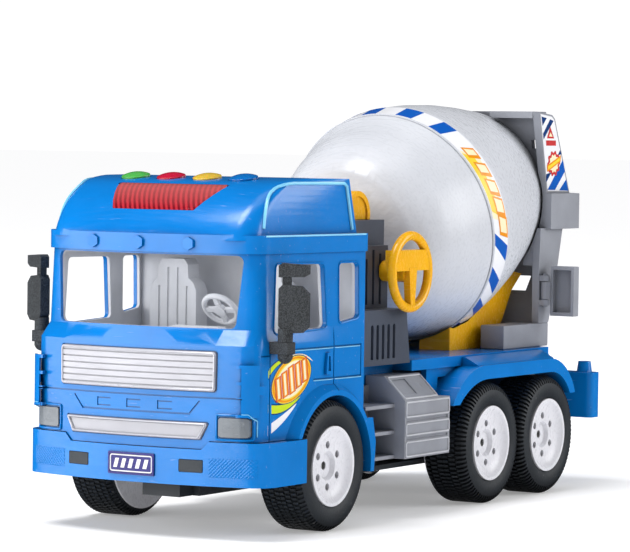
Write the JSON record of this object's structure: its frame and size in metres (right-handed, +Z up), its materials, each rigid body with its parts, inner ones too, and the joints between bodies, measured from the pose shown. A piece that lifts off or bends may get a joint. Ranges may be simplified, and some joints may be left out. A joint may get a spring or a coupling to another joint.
{
  "type": "toy cement mixer truck",
  "caption": "Toy cement mixer truck with a tilted drum turned by a hand wheel, rolling wheels with a friction motor, roof buttons, folding mirrors and hinged side flaps.",
  "frame": {"origin": "on the ground, at the middle of the bounding box in length and width", "axes": "+Z up, -Y the way the truck faces, +X its left side; X is the width and Y the length"},
  "size_m": [0.1592, 0.3669, 0.2038],
  "materials": {
    "blue": "moulded, glossy",
    "dark_grey": "moulded, satin",
    "tower_grey": "moulded, glossy",
    "light_grey": "moulded, satin",
    "silver": "silver painted plastic",
    "lamp_grey": "glossy",
    "plate_navy": "glossy print",
    "lens_red": "clear red plastic",
    "green": "translucent, glossy",
    "red": "translucent, glossy",
    "yellow_key": "translucent, glossy",
    "blue_key": "translucent, glossy",
    "silicone": "soft, matte",
    "board_green": "solder mask",
    "steel": "bright",
    "cell": "foil sleeve",
    "drum_white": "moulded, satin",
    "sticker": "printed film",
    "yellow": "moulded, glossy",
    "rubber": "soft plastic, matte",
    "rim_white": "moulded, glossy",
    "gear_white": "acetal"
  },
  "bodies": {
    "truck": {"battery_cells": "cell", "battery_cover": "dark_grey", "cab_interior": "light_grey", "cab_roof": "blue", "cab_shell": "blue", "chassis": "dark_grey", "drum_cradle": "yellow", "fog_lamps": "dark_grey", "front_bumper": "blue", "front_grille": "silver", "headlamps": "lamp_grey", "key_pad": "silicone", "lower_grille": "silver", "mirror_brackets": "dark_grey", "motor_case": "light_grey", "number_plate": "plate_navy", "rear_base": "light_grey", "rear_body": "blue", "rear_bumper": "blue", "rear_plate": "light_grey", "rear_side_left": "light_grey", "rear_side_right": "light_grey", "roof_lens": "lens_red", "screws": "steel", "seats": "light_grey", "side_box_left": "light_grey", "side_box_right": "light_grey", "side_stickers": "sticker", "sound_board": "board_green", "speaker": "cell", "steering_wheel": "dark_grey", "tower_base": "tower_grey", "tower_housing": "tower_grey", "water_tank": "yellow"},
    "front_axle": {"axle_front": "steel", "front_tyres": "rubber", "front_rims": "rim_white"},
    "middle_axle": {"axle_middle": "steel", "middle_tyres": "rubber", "middle_rims": "rim_white", "axle_gear": "gear_white"},
    "rear_axle": {"axle_rear": "steel", "rear_tyres": "rubber", "rear_rims": "rim_white"},
    "idler": {"idler_gear": "gear_white"},
    "flywheel": {"flywheel": "steel"},
    "drum": {"drum_front": "drum_white", "drum_rear": "drum_white", "drum_sticker": "sticker", "drum_gear": "gear_white"},
    "hand_wheel": {"crank_wheel": "yellow", "crank_gear": "gear_white"},
    "mirror_left": {"mirror_left": "dark_grey"},
    "mirror_right": {"mirror_right": "dark_grey"},
    "flap_left": {"side_flap_left": "light_grey"},
    "flap_right": {"side_flap_right": "light_grey"},
    "button_green": {"button_green": "green"},
    "button_red": {"button_red": "red"},
    "button_yellow": {"button_yellow": "yellow_key"},
    "button_blue": {"button_blue": "blue_key"}
  },
  "joints": [
    {"name": "front_axle_spin", "type": "hinge", "parent": "truck", "child": "front_axle", "pos_m": [0, -0.111, 0.031], "axis": [1, 0, 0], "continuous": true},
    {"name": "middle_axle_spin", "type": "hinge", "parent": "truck", "child": "middle_axle", "pos_m": [0, 0.0463, 0.031], "axis": [1, 0, 0], "continuous": true},
    {"name": "rear_axle_spin", "type": "hinge", "parent": "truck", "child": "rear_axle", "pos_m": [0, 0.1087, 0.031], "axis": [1, 0, 0], "continuous": true},
    {"name": "idler_spin", "type": "hinge", "parent": "truck", "child": "idler", "pos_m": [0, 0.03734, 0.03772], "axis": [1, 0, 0], "continuous": true},
    {"name": "flywheel_spin", "type": "hinge", "parent": "truck", "child": "flywheel", "pos_m": [0, 0.02838, 0.04444], "axis": [1, 0, 0], "continuous": true},
    {"name": "drum_spin", "type": "hinge", "parent": "truck", "child": "drum", "pos_m": [0, 0.0547, 0.1391], "axis": [0, 0.9763, 0.2164], "continuous": true},
    {"name": "hand_wheel_spin", "type": "hinge", "parent": "truck", "child": "hand_wheel", "pos_m": [0, -0.0297, 0.12039], "axis": [1, 0, 0], "continuous": true},
    {"name": "button_green_press", "type": "slide", "parent": "truck", "child": "button_green", "axis": [0, 0.1736, -0.9848], "range_m": [0, 0.0012], "stiffness_N_per_m": 600, "springref_m": -0.0006},
    {"name": "button_red_press", "type": "slide", "parent": "truck", "child": "button_red", "axis": [0, 0.1736, -0.9848], "range_m": [0, 0.0012], "stiffness_N_per_m": 600, "springref_m": -0.0006},
    {"name": "button_yellow_press", "type": "slide", "parent": "truck", "child": "button_yellow", "axis": [0, 0.1736, -0.9848], "range_m": [0, 0.0012], "stiffness_N_per_m": 600, "springref_m": -0.0006},
    {"name": "button_blue_press", "type": "slide", "parent": "truck", "child": "button_blue", "axis": [0, 0.1736, -0.9848], "range_m": [0, 0.0012], "stiffness_N_per_m": 600, "springref_m": -0.0006},
    {"name": "mirror_left_swivel", "type": "hinge", "parent": "truck", "child": "mirror_left", "pos_m": [0.0686, -0.1597, 0.1], "axis": [0, 0, 1], "range_deg": [-30, 34]},
    {"name": "mirror_right_swivel", "type": "hinge", "parent": "truck", "child": "mirror_right", "pos_m": [-0.0686, -0.1597, 0.1], "axis": [0, 0, 1], "range_deg": [-34, 30]},
    {"name": "flap_left_hinge", "type": "hinge", "parent": "truck", "child": "flap_left", "pos_m": [0.0524, 0.1295, 0.105], "axis": [0, 0, 1], "range_deg": [-40, 20]},
    {"name": "flap_right_hinge", "type": "hinge", "parent": "truck", "child": "flap_right", "pos_m": [-0.0524, 0.1295, 0.105], "axis": [0, 0, 1], "range_deg": [-20, 40]}
  ],
  "couplings": [
    {"joint": "idler_spin", "follows": "middle_axle_spin", "ratio": -2.2},
    {"joint": "flywheel_spin", "follows": "middle_axle_spin", "ratio": 4.84},
    {"joint": "hand_wheel_spin", "follows": "drum_spin", "ratio": 2}
  ]
}
